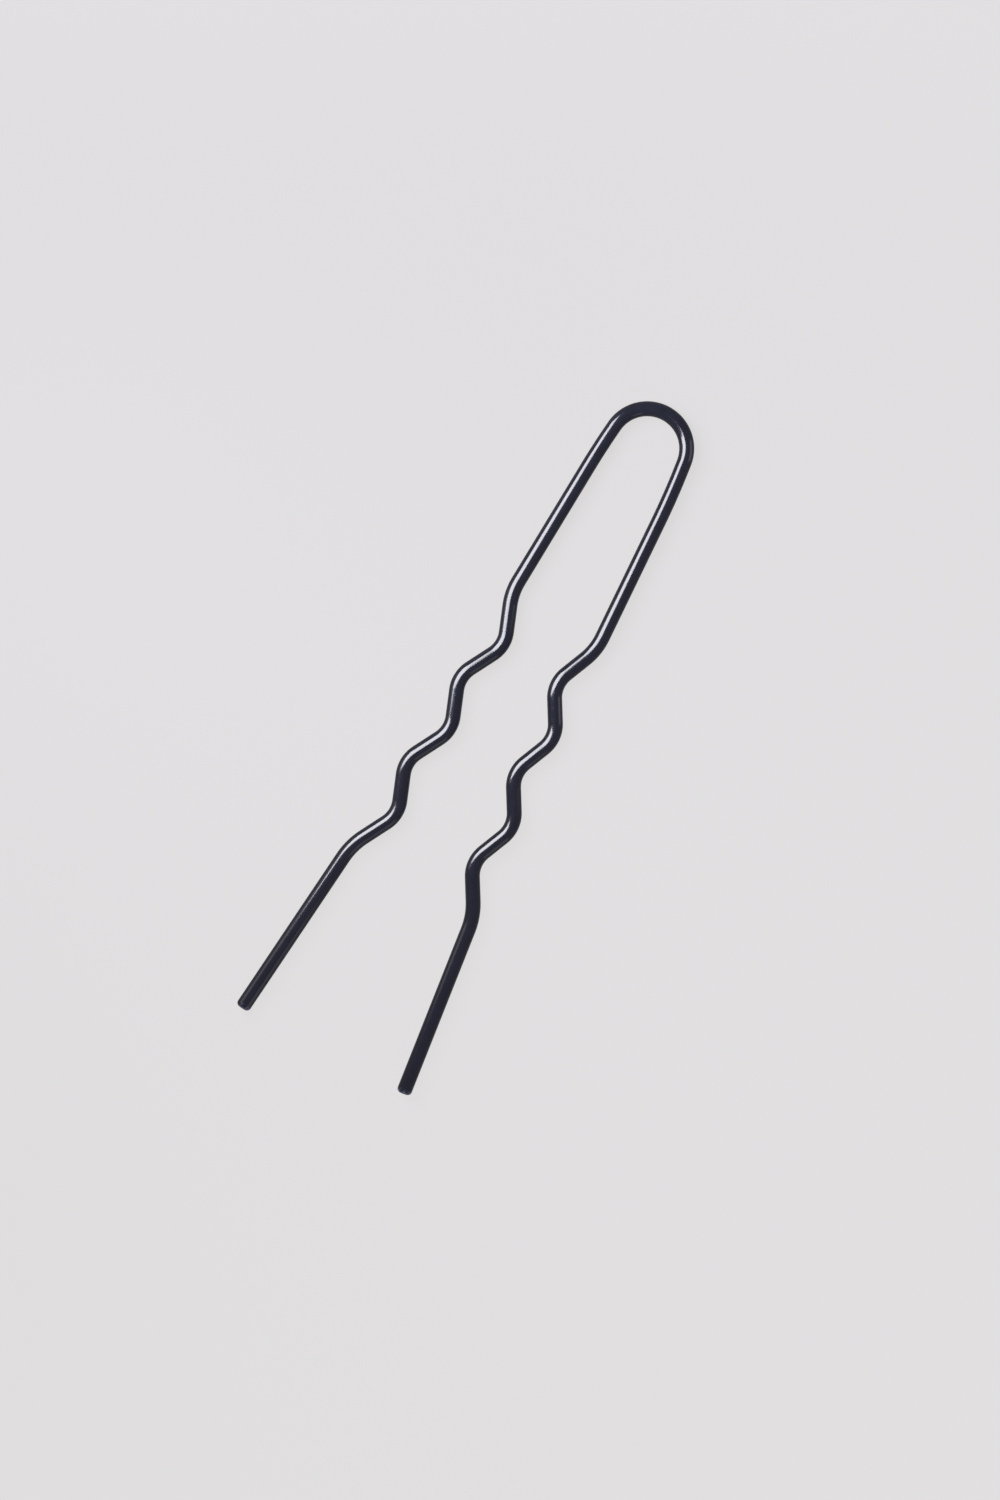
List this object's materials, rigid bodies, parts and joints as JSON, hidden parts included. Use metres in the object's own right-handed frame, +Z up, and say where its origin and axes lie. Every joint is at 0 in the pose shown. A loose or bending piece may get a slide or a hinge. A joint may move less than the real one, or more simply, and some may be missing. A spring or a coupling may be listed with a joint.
{
  "type": "hairpin",
  "caption": "U-shaped waved hairpin of one round spring wire in black lacquer; springy crimped prongs hold a bun or roll of hair.",
  "frame": {"origin": "under the middle of the hairpin's box, on the surface that it lies on", "axes": "+Y along the hairpin towards the bow, +X towards the right prong, +Z up from the surface"},
  "size_m": [0.0176, 0.0655, 0.0014],
  "materials": {
    "spring_steel": "satin",
    "black_lacquer": "gloss"
  },
  "bodies": {
    "bow": {"bow_wire": "spring_steel", "bow_lacquer": "black_lacquer"},
    "left_neck": {"left_neck_wire": "spring_steel", "left_neck_lacquer": "black_lacquer"},
    "left_prong": {"left_prong_wire": "spring_steel", "left_prong_lacquer": "black_lacquer"},
    "right_neck": {"right_neck_wire": "spring_steel", "right_neck_lacquer": "black_lacquer"},
    "right_prong": {"right_prong_wire": "spring_steel", "right_prong_lacquer": "black_lacquer"}
  },
  "joints": [
    {"name": "left_spread", "type": "hinge", "parent": "bow", "child": "left_neck", "pos_m": [-0.00442, 0.02878, 0.00068], "axis": [0, 0, -1], "range_deg": [-4.8, 10], "stiffness_Nm_per_rad": 0.78},
    {"name": "left_lift", "type": "hinge", "parent": "left_neck", "child": "left_prong", "pos_m": [-0.00478, 0.02248, 0.00068], "axis": [-0.9993, 0.0366, 0], "range_deg": [0, 8], "stiffness_Nm_per_rad": 0.78},
    {"name": "right_spread", "type": "hinge", "parent": "bow", "child": "right_neck", "pos_m": [0.00263, 0.02893, 0.00068], "axis": [0, 0, 1], "range_deg": [-4.8, 10], "stiffness_Nm_per_rad": 0.78},
    {"name": "right_lift", "type": "hinge", "parent": "right_neck", "child": "right_prong", "pos_m": [0.00331, 0.02115, 0.00068], "axis": [-0.9983, -0.0576, 0], "range_deg": [0, 8], "stiffness_Nm_per_rad": 0.78}
  ]
}
